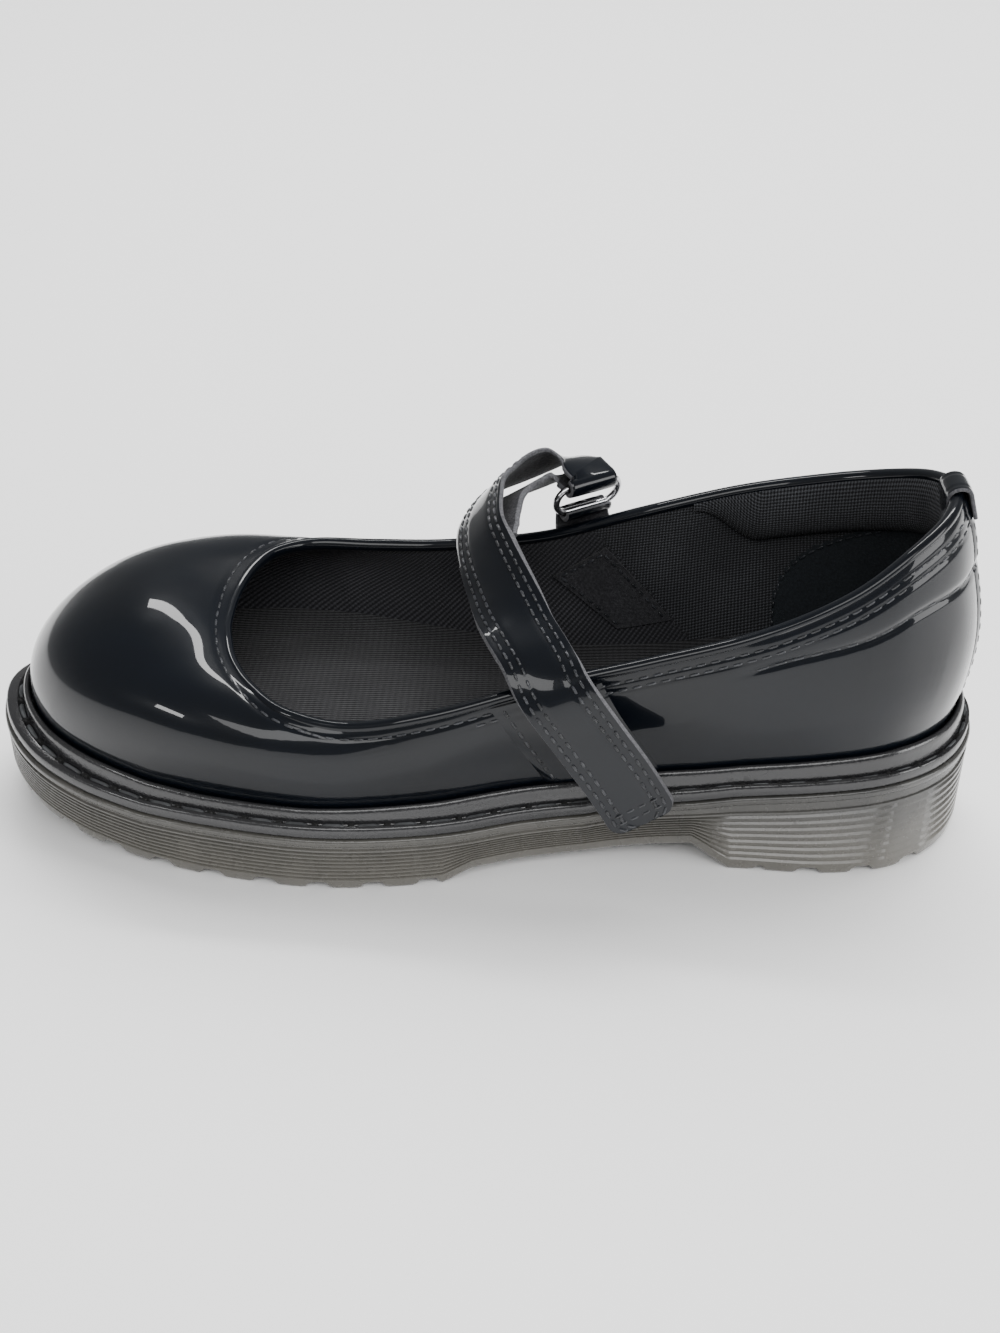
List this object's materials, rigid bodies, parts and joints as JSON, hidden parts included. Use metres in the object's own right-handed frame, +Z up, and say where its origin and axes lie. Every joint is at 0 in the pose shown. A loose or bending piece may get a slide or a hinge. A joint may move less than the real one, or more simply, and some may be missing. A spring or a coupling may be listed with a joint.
{
  "type": "mary jane shoe",
  "caption": "Left mary jane shoe: round toe, open throat, unfastened instep strap on a wire ring, padded heel collar, stitched welt and chunky rubber sole with a low heel.",
  "frame": {"origin": "middle of the whole shoe's box, on the floor that it stands on", "axes": "+X from toe to heel, +Y to the medial (inner) side, +Z up"},
  "size_m": [0.25, 0.0894, 0.0905],
  "materials": {
    "sole_rubber": "smoky, slightly see-through dark grey-brown moulded rubber, satin",
    "welt_rubber": "dark grey satin rubber with a glossy raised bead",
    "patent": "very glossy black patent coating, faint blue-black tint",
    "sock_fabric": "matte black fine ribbed textile",
    "lining_fabric": "matte black knitted mesh and twill",
    "ring_metal": "polished nickel-plated wire"
  },
  "bodies": {
    "root": {"outsole": "sole_rubber", "welt": "welt_rubber", "upper": "patent", "insole": "sock_fabric", "collar_pad": "lining_fabric", "strap": "patent", "strap_ring": "ring_metal", "ring_tab": "patent"}
  },
  "joints": []
}
